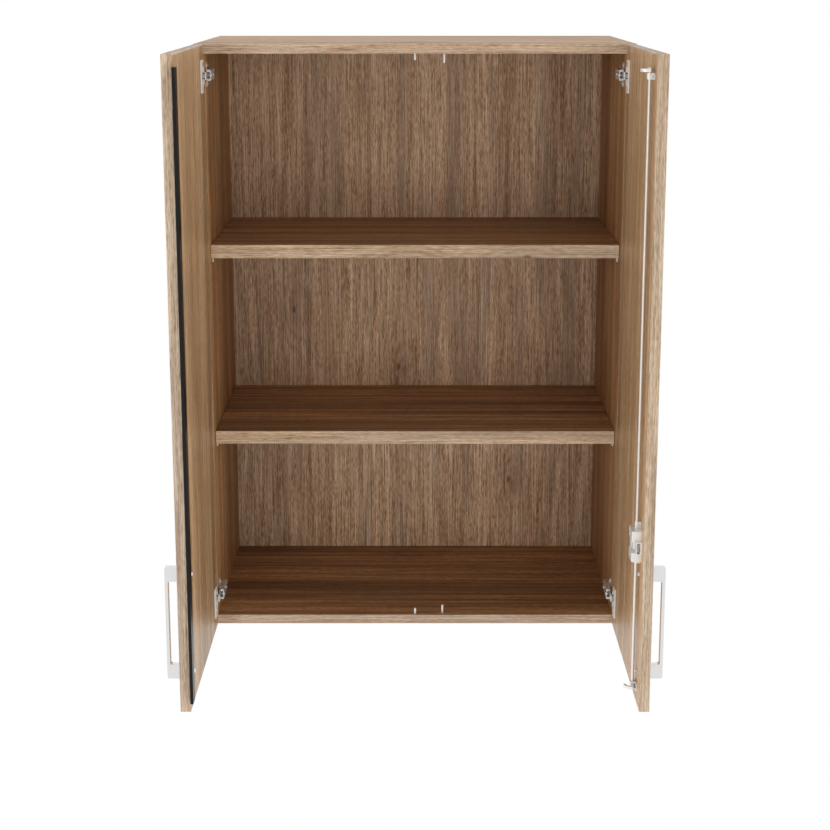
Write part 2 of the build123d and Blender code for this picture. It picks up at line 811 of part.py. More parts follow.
# Meeting strip: profile along the free edge of the left door, ribbed into its groove
with BuildPart() as meeting_strip:
    with BuildSketch(Plane.XY.offset(strip_low_z)) as strip_outline:
        with BuildLine():
            Polyline(
                (-inner_half, free_y),
                (-inner_half, free_y + strip_rib_near),
                (-inner_half - strip_rib_depth, free_y + strip_rib_near),
                (-inner_half - strip_rib_depth, free_y + strip_rib_far),
                (-inner_half, free_y + strip_rib_far),
                (-inner_half, free_y + strip_seat),
                (-inner_half + strip_thickness, free_y + strip_seat - strip_bevel),
                (-inner_half + strip_thickness, free_y - strip_overhang),
                (-inner_half + strip_relief, free_y - strip_overhang),
                (-inner_half + strip_relief, free_y),
                close=True,
            )
        make_face()
        fillet(strip_outline.vertices().group_by(Axis.Y)[0], strip_lip)
    extrude(amount=strip_length)

# Lock case: base plate, two bearing blocks joined by a wall, a slotted snout, a sleeve above and below
with BuildPart() as lock_case:
    with BuildSketch(inner_right):
        with Locations((case_mid_y, lock_z + (case_top + case_bottom) / 2)):
            Rectangle(case_width, case_top - case_bottom)
        with Locations((rod_y, case_bay_mid_z)):
            Rectangle(2 * (rotor_r + rotor_gap), case_upper - case_lower, mode=Mode.SUBTRACT)
    extrude(amount=-case_plate)
    with BuildSketch(inner_right):
        with Locations((case_mid_y, lock_z + (case_top + case_upper) / 2)):
            Rectangle(case_width, case_top - case_upper)
        with Locations((case_mid_y, lock_z + (case_lower + case_bottom) / 2)):
            Rectangle(case_width, case_lower - case_bottom)
    extrude(amount=-case_rise)
    fillet(lock_case.edges().filter_by(Axis.Z).group_by(Axis.X)[0], case_corner)
    with BuildSketch(inner_right):
        with Locations(((case_wall_y + case_far_y) / 2, case_bay_mid_z)):
            Rectangle(case_far_y - case_wall_y, case_upper - case_lower)
    extrude(amount=-case_wall_rise)
    with BuildSketch(inner_right):
        with Locations(((snout_near_y + snout_far_y) / 2, snout_mid_z)):
            Rectangle(snout_far_y - snout_near_y, snout_height)
    extrude(amount=-snout_rise)
    with BuildSketch(Plane.XZ.offset(-snout_near_y)):
        with Locations((rod_x, snout_mid_z)):
            SlotOverall(slot_height, slot_width, rotation=90)
    extrude(amount=-slot_depth, mode=Mode.SUBTRACT)
    with BuildSketch(Plane.XZ.offset(-(snout_near_y + slot_depth))):
        with Locations((rod_x - slot_rib_x, snout_mid_z), (rod_x + slot_rib_x, snout_mid_z)):
            Rectangle(slot_rib_width, slot_height - slot_width)
    extrude(amount=slot_rib_depth)
    for low, high in ((case_top, sleeve_top), (sleeve_bottom, case_bottom)):
        with BuildSketch(Plane.XY.offset(lock_z + low)):
            with Locations((rod_x, rod_y)):
                Circle(sleeve_r)
            with Locations(((rod_x + inner_half) / 2, rod_y)):
                Rectangle(inner_half - rod_x, 2 * sleeve_r)
        extrude(amount=high - low)
    with BuildSketch(Plane.XY.offset(lock_z + sleeve_bottom)):
        with Locations((rod_x, rod_y)):
            Circle(rod_bore_r)
    extrude(amount=sleeve_top - sleeve_bottom, mode=Mode.SUBTRACT)
    with BuildSketch(inner_right.offset(-case_rise)):
        with Locations(*case_screws_at):
            Circle(case_screw_head_r)
    extrude(amount=case_screw_sink, mode=Mode.SUBTRACT)
    with BuildSketch(inner_right):
        with Locations(*case_screws_at):
            Circle(case_screw_r)
    extrude(amount=-case_rise, mode=Mode.SUBTRACT)

# Lock case screws, sunk in the blocks
with BuildPart() as lock_case_screws:
    with BuildSketch(inner_right.offset(-case_rise + case_screw_sink)):
        with Locations(*case_screws_at):
            Circle(case_screw_head_r)
    extrude(amount=-case_screw_head)
    with BuildSketch(inner_right.offset(-case_rise + case_screw_sink)):
        with Locations(*case_screws_at):
            Circle(case_screw_r)
    extrude(amount=case_rise - case_screw_sink + lock_screw_sunk)

# Lock cylinder housing through the right door, with a flange on the outside
with BuildPart() as lock_cylinder:
    with BuildSketch(inner_right):
        with Locations((rod_y, lock_z)):
            Circle(cylinder_r)
    extrude(amount=board)
    with BuildSketch(outer_right):
        with Locations((rod_y, lock_z)):
            Circle(cylinder_flange_r)
    extrude(amount=cylinder_flange)
    chamfer(lock_cylinder.edges().group_by(Axis.X)[-1], screw_head_chamfer)
    with BuildSketch(inner_right):
        with Locations((rod_y, lock_z)):
            Circle(cylinder_bore_r)
    extrude(amount=board + cylinder_flange, mode=Mode.SUBTRACT)

# Lock plug with its stepped keyway
with BuildPart() as lock_plug:
    with BuildSketch(inner_right.offset(plug_inset)):
        with Locations((rod_y, lock_z)):
            Circle(plug_r)
    extrude(amount=board + cylinder_flange - plug_inset - plug_recess)
    with BuildSketch(outer_right.offset(cylinder_flange)):
        with Locations((rod_y, lock_z)):
            Rectangle(keyway_width, keyway_height)
        with Locations((rod_y + keyway_step_y, lock_z + keyway_step_z)):
            Rectangle(keyway_step_width, keyway_step_height)
    extrude(amount=-keyway_depth, mode=Mode.SUBTRACT)


# Rod guide: eared plate with lugs round the rod, each lug given by its low end and its height
def rod_guide(low_z, height, lugs):
    with BuildPart() as guide:
        with BuildSketch(inner_right):
            with Locations((rod_y, low_z + height / 2)):
                RectangleRounded(2 * guide_ear, height, guide_corner)
        extrude(amount=-guide_sheet)
        for lug_z, lug_height in lugs:
            with BuildSketch(Plane.XY.offset(lug_z)):
                with Locations((rod_x, rod_y)):
                    Circle(guide_lug_r)
                with Locations(((rod_x + inner_half) / 2, rod_y)):
                    Rectangle(inner_half - rod_x, 2 * guide_lug_r)
            extrude(amount=lug_height)
        with BuildSketch(Plane.XY.offset(low_z)):
            with Locations((rod_x, rod_y)):
                Circle(rod_bore_r)
        extrude(amount=height, mode=Mode.SUBTRACT)
        with BuildSketch(inner_right):
            with Locations(*guide_screws_at):
                Circle(guide_screw_r)
        extrude(amount=-guide_sheet, mode=Mode.SUBTRACT)
    return guide


# The upper guide is one lug; the lower one holds its hook between two
rod_guide_upper = rod_guide(guide_high_z, guide_high_height, [(guide_high_z, guide_high_height)])
rod_guide_lower = rod_guide(
    guide_low_z,
    guide_low_height,
    [(guide_low_z, guide_low_lug), (guide_low_z + guide_low_height - guide_low_lug, guide_low_lug)],
)

# Guide screws
with BuildPart() as rod_guide_screws:
    with BuildSketch(inner_right.offset(-guide_sheet)):
        with Locations(*guide_screws_at):
            Circle(guide_screw_head_r)
    extrude(amount=-guide_screw_head)
    chamfer(rod_guide_screws.edges().group_by(Axis.X)[0], screw_head_chamfer)
    with BuildSketch(inner_right.offset(-guide_sheet)):
        with Locations(*guide_screws_at):
            Circle(guide_screw_r)
    extrude(amount=guide_sheet + lock_screw_sunk)

# Locking rod
with BuildPart() as locking_rod:
    with BuildSketch(Plane.XY.offset(rod_low_z)):
        with Locations((rod_x, rod_y)):
            Circle(rod_r)
    extrude(amount=rod_high_z - rod_low_z)
    chamfer(locking_rod.edges().filter_by(GeomType.CIRCLE), rod_chamfer)

# Rod hooks: hub, arm and a curved claw about the rod
with BuildPart() as rod_hooks:
    for row in (hook_low_z, hook_high_z):
        with BuildSketch(Plane(origin=(rod_x, rod_y, row - hook_height / 2))):
            with BuildLine():
                inner_arc = CenterArc((0, 0), hook_inner_r, hook_tip_angle, hook_sweep)
                outer_arc = CenterArc((0, 0), hook_outer_r, hook_tip_angle, hook_sweep)
                Line(inner_arc @ 0, outer_arc @ 0)
                Line(inner_arc @ 1, outer_arc @ 1)
            make_face()
            with PolarLocations(hook_mid_r, 1, hook_tip_angle):
                Circle(hook_half)
            with PolarLocations(hook_mid_r, 1, hook_arm_angle):
                Circle(hook_half)
            with PolarLocations(hook_mid_r / 2, 1, hook_arm_angle):
                Rectangle(hook_mid_r, 2 * hook_half)
        extrude(amount=hook_height)
        with BuildSketch(Plane(origin=(rod_x, rod_y, row - hook_hub_height / 2))):
            Circle(hook_hub_r)
        extrude(amount=hook_hub_height)
        with BuildSketch(Plane(origin=(rod_x, rod_y, row - hook_hub_height / 2))):
            Circle(rod_r)
        extrude(amount=hook_hub_height, mode=Mode.SUBTRACT)

# Lock rotor: sleeve on the rod inside the case, with a flat on one side
with BuildPart() as lock_rotor:
    with BuildSketch(Plane(origin=(rod_x, rod_y, lock_z + case_lower + rotor_gap / 2))):
        Circle(rotor_r)
        with PolarLocations(rotor_flat + rotor_r / 2, 1, 225):
            Rectangle(rotor_r, 2 * rotor_r, mode=Mode.SUBTRACT)
        Circle(rod_r, mode=Mode.SUBTRACT)
    extrude(amount=case_upper - case_lower - rotor_gap)

pieces = {
    "top_panel": top_panel,
    "bottom_panel": bottom_panel,
    "side_panel_left": side_panel_left,
    "side_panel_right": side_panel_right,
    "back_panel": back_panel,
    "panel_edge_bands": panel_edge_bands,
    "panel_end_bands": panel_end_bands,
    "side_edge_bands": side_edge_bands,
    "shelf_lower": shelf_lower,
    "shelf_upper": shelf_upper,
    "shelf_edge_bands": shelf_edge_bands,
    "shelf_supports": shelf_supports,
    "corner_dowels": corner_dowels,
    "hanger_plates": hanger_plates,
    "hanger_screws": hanger_screws,
    "lock_pins": lock_pins,
    "stop_pins": stop_pins,
    "hinge_plates_left": hinge_plates_left,
    "hinge_plates_right": hinge_plates_right,
    "hinge_plate_screws": hinge_plate_screws,
    "hinge_arms_left": hinge_arms_left,
    "hinge_arms_right": hinge_arms_right,
    "hinge_arm_screws": hinge_arm_screws,
    "door_panel_left": door_panel_left,
    "door_edge_bands_left": door_edge_bands_left,
    "door_end_bands_left": door_end_bands_left,
    "hinge_cups_left": hinge_cups_left,
    "hinge_pins_left": hinge_pins_left,
    "cup_screws_left": cup_screws_left,
    "handle_left": handle_left,
    "handle_screws_left": handle_screws_left,
    "meeting_strip": meeting_strip,
    "door_panel_right": door_panel_right,
    "door_edge_bands_right": door_edge_bands_right,
    "door_end_bands_right": door_end_bands_right,
    "hinge_cups_right": hinge_cups_right,
    "hinge_pins_right": hinge_pins_right,
    "cup_screws_right": cup_screws_right,
    "handle_right": handle_right,
    "handle_screws_right": handle_screws_right,
    "lock_case": lock_case,
    "lock_case_screws": lock_case_screws,
    "lock_cylinder": lock_cylinder,
    "lock_plug": lock_plug,
    "rod_guide_upper": rod_guide_upper,
    "rod_guide_lower": rod_guide_lower,
    "rod_guide_screws": rod_guide_screws,
    "locking_rod": locking_rod,
    "rod_hooks": rod_hooks,
    "lock_rotor": lock_rotor,
}
for name, piece in pieces.items():
    piece.part.label = name
    export_step(piece.part, f"parts/{name}.step")
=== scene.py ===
import bpy
import math
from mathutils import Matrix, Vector


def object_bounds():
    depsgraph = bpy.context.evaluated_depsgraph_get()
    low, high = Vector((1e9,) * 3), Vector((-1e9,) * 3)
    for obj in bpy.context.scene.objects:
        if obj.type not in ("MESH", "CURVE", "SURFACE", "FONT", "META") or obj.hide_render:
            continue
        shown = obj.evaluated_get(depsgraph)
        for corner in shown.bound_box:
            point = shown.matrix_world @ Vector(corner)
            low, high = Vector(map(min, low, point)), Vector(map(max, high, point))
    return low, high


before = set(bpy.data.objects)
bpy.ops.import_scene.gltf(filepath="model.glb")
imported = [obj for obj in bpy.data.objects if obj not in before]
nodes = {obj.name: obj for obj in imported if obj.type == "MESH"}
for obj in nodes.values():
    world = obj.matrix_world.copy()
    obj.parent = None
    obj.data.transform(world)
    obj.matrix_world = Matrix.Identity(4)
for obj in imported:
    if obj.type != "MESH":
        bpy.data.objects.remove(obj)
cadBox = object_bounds()
mm = 0.001
white = (1.0, 1.0, 1.0, 1.0)
print("frame loaded:", len(nodes), "CAD pieces")


def linearColour(hexText):
    channels = [int(hexText[i:i + 2], 16) / 255 for i in (1, 3, 5)]
    return [c / 12.92 if c <= 0.04045 else ((c + 0.055) / 1.055) ** 2.4 for c in channels] + [1.0]


# How many of each size, given in millimetres, go into a metre
def perMetre(*sizes):
    return [1 / (size * mm) for size in sizes]


def addNode(tree, kind, inputs=None, **settings):
    node = tree.nodes.new("ShaderNode" + kind)
    for name, value in settings.items():
        setattr(node, name, value)
    for socket, value in (inputs or {}).items():
        if isinstance(value, bpy.types.NodeSocket):
            tree.links.new(value, node.inputs[socket])
        else:
            node.inputs[socket].default_value = value
    return node


def newMaterial(name):
    material = bpy.data.materials.new(name)
    material.use_nodes = True
    material.node_tree.nodes.clear()
    return material


def closeMaterial(material, shader):
    addNode(material.node_tree, "OutputMaterial", {"Surface": shader.outputs[0]})
    return material


def dress(material, *names):
    for name in names:
        mesh = nodes[name].data
        mesh.materials.clear()
        mesh.materials.append(material)


# Oak decor: a printed oak sheet under melamine resin, pressed with shallow pores, on a chipboard core.
# The eye sees dense long fibres along the board, warm bands with grey fibres in some of them, a few
# arches and small knots, under a dull even sheen. Sizes, spacing, flow swing and pore depth are in
# millimetres. Shares, ranges and the swing of the arches, in year rings, are plain numbers.
oakPrint = {
    "streaks": {                          # width across and length along the grain
        "hair": (1.0, 13.0),              # real fibres are finer than a pixel, so they are this coarse
        "fibre": (1.4, 130.0),
        "line": (13.0, 900.0),
        "band": (58.0, 1600.0),
        "grey": (36.0, 750.0),
        "vein": (3.2, 240.0),
        "pore": (2.2, 42.0),              # about four times too wide, so that they show
        "arch": (140.0, 620.0),
    },
    "fineShares": {"hair": 1.8, "fibre": 1.7},
    "fineRange": (0.05, 0.95),            # levels of the darkest and the palest fibre
    "bandShares": {"line": 0.75, "band": 0.8},
    "bandRange": (-0.25, 1.25),
    "flowSize": (90.0, 420.0),
    "flowSwing": 6.0,
    "ringSpacing": 26.0,
    "ringShare": 0.08,
    "archSwing": 5.0,
    "knotCell": (200.0, 430.0),           # one place for a knot in each cell of this size
    "knotDraw": 0.6,                      # cells that draw more than this have their knot
    "knotParts": {                        # rim and core as shares of a cell, and strength
        "heart": (0.028, 0.008, 0.8),
        "halo": (0.26, 0.03, 1.0),
    },
    "haloBend": 2.2,                      # year rings that a halo shifts
    "haloShade": -0.2,
    "spots": {                            # noise levels where they start and are full, and strength
        "grey": (0.5, 0.68, 1.0),
        "vein": (0.58, 0.72, 0.6),
        "pore": (0.64, 0.78, 1.0),
    },
    "greyFibres": {"pale": 0.6, "dark": 0.38, "least": 0.25, "most": 0.65},
    "poreDark": 0.6,
    "poreRough": 0.15,
    "poreDepth": 0.12,
    "poreBump": 0.35,
    "roughness": 0.55,
    "chipSize": 2.6,
    "chipDark": "#9A7A52",
    "chipLight": "#D3B98F",
}
noiseMiddle = 0.5
edgeTurn = 0.5   # cosine of 60 degrees: a face turned further from the board's own is one of its edges
# Linear shares of each board's middle tone
toneShares = {
    "dark": (0.44, 0.36, 0.28),
    "middle": (1.0, 1.0, 1.0),
    "light": (1.4, 1.67, 2.02),
    "grey": (0.6, 0.66, 0.8),
    "pore": (0.21, 0.17, 0.15),
}
# What a dark and a pale band multiply the fibres by
bandShades = {"dark": (0.5, 0.44, 0.38, 1.0), "pale": (1.5, 1.56, 1.62, 1.0)}
# Turns that lay the grain, drawn along Z, along each axis of the cabinet
grainTurn = {
    "X": (0.0, -math.pi / 2, 0.0),
    "Y": (math.pi / 2, 0.0, 0.0),
    "Z": (0.0, 0.0, 0.0),
}
# The way a board's outer face looks
faceAxis = {
    "left": (-1.0, 0.0, 0.0),
    "right": (1.0, 0.0, 0.0),
    "rear": (0.0, 1.0, 0.0),
    "up": (0.0, 0.0, 1.0),
    "down": (0.0, 0.0, -1.0),
}


# Object coordinates laid along the grain, with slow swings of the fibres to the sides
def bendGrain(tree, coords, grain, start):
    sheet = addNode(tree, "Mapping", {
        "Vector": coords.outputs["Object"],
        "Location": [place * mm for place in start],
        "Rotation": grainTurn[grain],
    })
    width, length = oakPrint["flowSize"]
    flowPlace = addNode(tree, "Mapping", {
        "Vector": sheet.outputs[0],
        "Scale": perMetre(width, width, length),
    })
    flow = addNode(tree, "TexNoise", {"Vector": flowPlace.outputs[0], "Scale": 1.0, "Detail": 1.0})
    flowCentred = addNode(tree, "VectorMath", {
        0: flow.outputs["Color"],
        1: (noiseMiddle, noiseMiddle, noiseMiddle),
    }, operation="SUBTRACT")
    swing = oakPrint["flowSwing"] * mm
    flowStep = addNode(tree, "VectorMath", {
        0: flowCentred.outputs[0],
        1: (swing, swing, 0.0),
    }, operation="MULTIPLY")
    bent = addNode(tree, "VectorMath", {
        0: sheet.outputs[0],
        1: flowStep.outputs[0],
    }, operation="ADD")
    return bent.outputs[0]


# Noise drawn out along the grain, one for each size of streak
def drawStreaks(tree, bent):
    streaks = {}
    for streak, (width, length) in oakPrint["streaks"].items():
        place = addNode(tree, "Mapping", {"Vector": bent, "Scale": perMetre(width, width, length)})
        noise = addNode(tree, "TexNoise", {"Vector": place.outputs[0], "Scale": 1.0, "Detail": 1.0})
        streaks[streak] = noise.outputs[0]
    return streaks


# Knots sit in some cells of the board's face: a dark heart, and a halo that bends the year rings
def placeKnots(tree, across, along):
    face = addNode(tree, "CombineXYZ", {0: across, 1: along})
    place = addNode(tree, "Mapping", {
        "Vector": face.outputs[0],
        "Scale": perMetre(*oakPrint["knotCell"]) + [1.0],
    })
    cells = addNode(tree, "TexVoronoi", {"Vector": place.outputs[0], "Scale": 1.0}, voronoi_dimensions="2D")
    draw = addNode(tree, "SeparateColor", {0: cells.outputs["Color"]})
    here = addNode(tree, "Math", {0: draw.outputs[0], 1: oakPrint["knotDraw"]}, operation="GREATER_THAN")
    knots = {}
    for part, (rim, core, strength) in oakPrint["knotParts"].items():
        shape = addNode(tree, "MapRange", {
            "Value": cells.outputs["Distance"],
            "From Min": rim,
            "From Max": core,
            "To Max": strength,
        }, interpolation_type="SMOOTHSTEP")
        kept = addNode(tree, "Math", {0: shape.outputs[0], 1: here.outputs[0]}, operation="MULTIPLY")
        knots[part] = kept.outputs[0]
    return knots


# Year rings: even steps across the board, swung into arches by slow noise
def drawRings(tree, arch, across, halo):
    steps = addNode(tree, "Math", {
        0: across,
        1: perMetre(oakPrint["ringSpacing"])[0],
    }, operation="MULTIPLY")
    arched = addNode(tree, "Math", {
        0: arch,
        1: oakPrint["archSwing"],
        2: steps.outputs[0],
    }, operation="MULTIPLY_ADD")
    phase = addNode(tree, "Math", {
        0: halo,
        1: oakPrint["haloBend"],
        2: arched.outputs[0],
    }, operation="MULTIPLY_ADD")
    angle = addNode(tree, "Math", {0: phase.outputs[0], 1: 2 * math.pi}, operation="MULTIPLY")
    wave = addNode(tree, "Math", {0: angle.outputs[0]}, operation="SINE")
    return wave.outputs[0]


# A level from dark to light: a base with its streaks added up, each as strong as its share
def sumStreaks(tree, base, baseShare, streaks, shares, strength):
    level = addNode(tree, "Math", {0: base, 1: baseShare, 2: noiseMiddle}, operation="MULTIPLY_ADD")
    for streak, share in shares.items():
        centred = addNode(tree, "Math", {0: streaks[streak], 1: noiseMiddle}, operation="SUBTRACT")
        level = addNode(tree, "Math", {
            0: centred.outputs[0],
            1: share * strength,
            2: level.outputs[0],
        }, operation="MULTIPLY_ADD")
    return level.outputs[0]


# The fibres run through three tones, and the bands that they lie in shade them
def shadeFibres(tree, tones, fineLevel, bandLevel):
    ramp = addNode(tree, "ValToRGB", {0: fineLevel})
    darkEnd, lightEnd = ramp.color_ramp.elements
    darkEnd.position, lightEnd.position = oakPrint["fineRange"]
    darkEnd.color, lightEnd.color = tones["dark"], tones["light"]
    ramp.color_ramp.elements.new(noiseMiddle).color = tones["middle"]
    darkBand, paleBand = oakPrint["bandRange"]
    bandShare = addNode(tree, "MapRange", {
        "Value": bandLevel,
        "From Min": darkBand,
        "From Max": paleBand,
    }, interpolation_type="SMOOTHSTEP")
    bandShade = addNode(tree, "Mix", {
        "Factor": bandShare.outputs[0],
        "A": bandShades["dark"],
        "B": bandShades["pale"],
    }, data_type="RGBA")
    banded = addNode(tree, "Mix", {
        "Factor": 1.0,
        "A": ramp.outputs[0],
        "B": bandShade.outputs["Result"],
    }, data_type="RGBA", blend_type="MULTIPLY")
    return banded.outputs["Result"]


# Grey fibres and dark veins gathered in some bands, then pores and the hearts of the knots
def drawSpots(tree, tones, streaks, banded, heart):
    spots = {}
    for spot, (start, full, strength) in oakPrint["spots"].items():
        level = addNode(tree, "MapRange", {
            "Value": streaks[spot],
            "From Min": start,
            "From Max": full,
            "To Max": strength,
        })
        spots[spot] = level.outputs[0]
    greyFibres = oakPrint["greyFibres"]
    fibreGrey = addNode(tree, "MapRange", {
        "Value": streaks["fibre"],
        "From Min": greyFibres["pale"],
        "From Max": greyFibres["dark"],
        "To Min": greyFibres["least"],
        "To Max": greyFibres["most"],
    })
    greyness = addNode(tree, "Math", {0: spots["grey"], 1: fibreGrey.outputs[0]}, operation="MULTIPLY")
    greyed = addNode(tree, "Mix", {
        "Factor": greyness.outputs[0],
        "A": banded,
        "B": tones["grey"],
    }, data_type="RGBA")
    veinShade = addNode(tree, "Math", {0: spots["vein"], 1: spots["grey"]}, operation="MULTIPLY")
    poreShade = addNode(tree, "Math", {
        0: spots["pore"],
        1: oakPrint["poreDark"],
        2: veinShade.outputs[0],
    }, operation="MULTIPLY_ADD")
    darkSpots = addNode(tree, "Math", {0: poreShade.outputs[0], 1: heart}, operation="MAXIMUM")
    spotted = addNode(tree, "Mix", {
        "Factor": darkSpots.outputs[0],
        "A": greyed.outputs["Result"],
        "B": tones["pore"],
    }, data_type="RGBA")
    return spotted.outputs["Result"], spots["pore"]


# The outer face in the plain decor tone, over the inside tone with its painted light and shade, and raw
# chipboard on the edges
def splitShadedInsideAndRawEdges(tree, coords, colour, middle, outward, outside):
    facing = addNode(tree, "VectorMath", {
        0: coords.outputs["Normal"],
        1: faceAxis[outward],
    }, operation="DOT_PRODUCT").outputs["Value"]
    if outside:
        outerFace = addNode(tree, "Math", {0: facing, 1: edgeTurn}, operation="GREATER_THAN")
        colour = addNode(tree, "Mix", {
            "Factor": outerFace.outputs[0],
            "A": colour,
            "B": [new / old for new, old in zip(linearColour(outside), linearColour(middle))],
        }, data_type="RGBA", blend_type="MULTIPLY").outputs["Result"]
    turned = addNode(tree, "Math", {0: facing}, operation="ABSOLUTE")
    rawEdge = addNode(tree, "Math", {0: turned.outputs[0], 1: edgeTurn}, operation="LESS_THAN")
    chips = addNode(tree, "TexVoronoi", {
        "Vector": coords.outputs["Object"],
        "Scale": perMetre(oakPrint["chipSize"])[0],
    })
    chipDraw = addNode(tree, "SeparateColor", {0: chips.outputs["Color"]})
    chipColour = addNode(tree, "Mix", {
        "Factor": chipDraw.outputs[0],
        "A": linearColour(oakPrint["chipDark"]),
        "B": linearColour(oakPrint["chipLight"]),
    }, data_type="RGBA")
    return addNode(tree, "Mix", {
        "Factor": rawEdge.outputs[0],
        "A": colour,
        "B": chipColour.outputs["Result"],
    }, data_type="RGBA").outputs["Result"]


def oakDecor(name, grain, start, middle, fibres, bands, outward=None, outside=None,
             roughness=oakPrint["roughness"]):
    tones = {
        tone: [level * share for level, share in zip(linearColour(middle), shares)] + [1.0]
        for tone, shares in toneShares.items()
    }
    material = newMaterial(name)
    tree = material.node_tree
    coords = addNode(tree, "TexCoord")
    bent = bendGrain(tree, coords, grain, start)
    streaks = drawStreaks(tree, bent)
    axes = addNode(tree, "SeparateXYZ", {0: bent})
    across = addNode(tree, "Math", {0: axes.outputs[0], 1: axes.outputs[1]}, operation="ADD").outputs[0]
    knots = placeKnots(tree, across, axes.outputs[2])
    rings = drawRings(tree, streaks["arch"], across, knots["halo"])
    fineLevel = sumStreaks(tree, rings, oakPrint["ringShare"], streaks, oakPrint["fineShares"], fibres)
    bandLevel = sumStreaks(tree, knots["halo"], oakPrint["haloShade"], streaks, oakPrint["bandShares"], bands)
    banded = shadeFibres(tree, tones, fineLevel, bandLevel)
    colour, pores = drawSpots(tree, tones, streaks, banded, knots["heart"])
    if outward:
        colour = splitShadedInsideAndRawEdges(tree, coords, colour, middle, outward, outside)

    # Pressed pores: slightly rougher and a hair lower than the resin between them
    sheen = addNode(tree, "Math", {
        0: pores,
        1: oakPrint["poreRough"],
        2: roughness,
    }, operation="MULTIPLY_ADD")
    relief = addNode(tree, "Math", {0: streaks["fibre"], 1: pores}, operation="SUBTRACT")
    bump = addNode(tree, "Bump", {
        "Height": relief.outputs[0],
        "Strength": oakPrint["poreBump"],
        "Distance": oakPrint["poreDepth"] * mm,
    })
    shader = addNode(tree, "BsdfPrincipled", {
        "Base Color": colour,
        "Roughness": sheen.outputs[0],
        "Normal": bump.outputs[0],
    })
    return closeMaterial(material, shader)


# For each board: the way its grain runs, where it is cut from the printed sheet, its middle tone,
# how strongly its fibres and bands show, the way its outer face looks, and that face's own tone.
# The middle tone is the inside's and carries painted light and shade: paler on the back, darker on the
# shelves and inside the top and bottom, warmer on the sides. The outer face's tone is the plain decor tone.
# The doors' resin is pressed smoother, so they pale where the eye skims them against the light.
boardCuts = {
    # painted shade: the inside tone of the top and bottom, and the shelves' tone, are darker than the decor
    "top_panel": {
        "grain": "X", "start": (0, 0, 300), "middle": "#A5784F", "fibres": 1.0, "bands": 1.4,
        "outward": "up", "outside": "#A9845E",
    },
    "bottom_panel": {
        "grain": "X", "start": (120, 70, 1900), "middle": "#A5784F", "fibres": 1.0, "bands": 2.8,
        "outward": "down", "outside": "#A9845E",
    },
    "shelf_upper": {
        "grain": "X", "start": (340, 20, 3100), "middle": "#A97B50", "fibres": 1.0, "bands": 2.0,
        "outward": "down",
    },
    "shelf_lower": {
        "grain": "X", "start": (510, 90, 4700), "middle": "#A5784F", "fibres": 1.0, "bands": 2.8,
        "outward": "down",
    },
    # painted bounce light: the sides' inside tone is warmer than their outside
    "side_panel_left": {
        "grain": "Z", "start": (900, 35, 400), "middle": "#B08254", "fibres": 0.9, "bands": 1.8,
        "outward": "left", "outside": "#A9845E",
    },
    "side_panel_right": {
        "grain": "Z", "start": (1700, 60, 2300), "middle": "#AD7F52", "fibres": 0.9, "bands": 1.8,
        "outward": "right", "outside": "#A9845E",
    },
    # painted light: the back's inside tone is much paler than its outside, lifting the shade deep inside
    "back_panel": {
        "grain": "Z", "start": (2600, 15, 900), "middle": "#D4B18D", "fibres": 1.0, "bands": 0.9,
        "outward": "rear", "outside": "#A9845E",
    },
    "door_panel_left": {
        "grain": "Z", "start": (3500, 80, 1500), "middle": "#AB8761", "fibres": 1.0, "bands": 1.6,
        "outward": "left", "roughness": 0.41,
    },
    "door_panel_right": {
        "grain": "Z", "start": (4400, 55, 3300), "middle": "#AB8761", "fibres": 1.0, "bands": 1.6,
        "outward": "right", "roughness": 0.41,
    },
}
# Edge bands are cut from a paler, quieter print: the way of the grain, the place on the sheet, the tone. The
# sides' front edges are darker, as painted shade of the corner by the hinges.
edgePrint = {"fibres": 0.6, "bands": 0.5}
bandCuts = {
    "panel_edge_bands": {"grain": "X", "start": (5200, 10, 100), "middle": "#C0A285"},
    "panel_end_bands": {"grain": "Y", "start": (8500, 45, 2700), "middle": "#C0A285"},
    "shelf_edge_bands": {"grain": "X", "start": (5600, 40, 800), "middle": "#D6B896"},
    # painted shade: the sides' front edges are darker than the other edges, standing in for the shade of the
    # hinge corner
    "side_edge_bands": {"grain": "Z", "start": (6100, 65, 1600), "middle": "#A07E5B"},
    "door_edge_bands_left": {"grain": "Z", "start": (6500, 25, 2100), "middle": "#BEA489"},
    "door_edge_bands_right": {"grain": "Z", "start": (6900, 85, 2900), "middle": "#B29A80"},
    "door_end_bands_left": {"grain": "Y", "start": (7300, 50, 3400), "middle": "#BCA287"},
    "door_end_bands_right": {"grain": "Y", "start": (7700, 5, 4200), "middle": "#BCA287"},
}
for board, cut in boardCuts.items():
    dress(oakDecor("oak decor " + board.replace("_", " "), **cut), board)
for band, cut in bandCuts.items():
    dress(oakDecor("oak decor " + band.replace("_", " "), **cut, **edgePrint), band)
print("oak boards and edges dressed")

# Beech dowels: turned rods, pale pink-brown with short fine flecks, hidden in the corners
dowelCut = {"grain": "Z", "start": (8100, 30, 600), "middle": "#C19A70", "fibres": 0.8, "bands": 0.3}
dress(oakDecor("turned beech", **dowelCut), "corner_dowels")
print("dowels dressed")


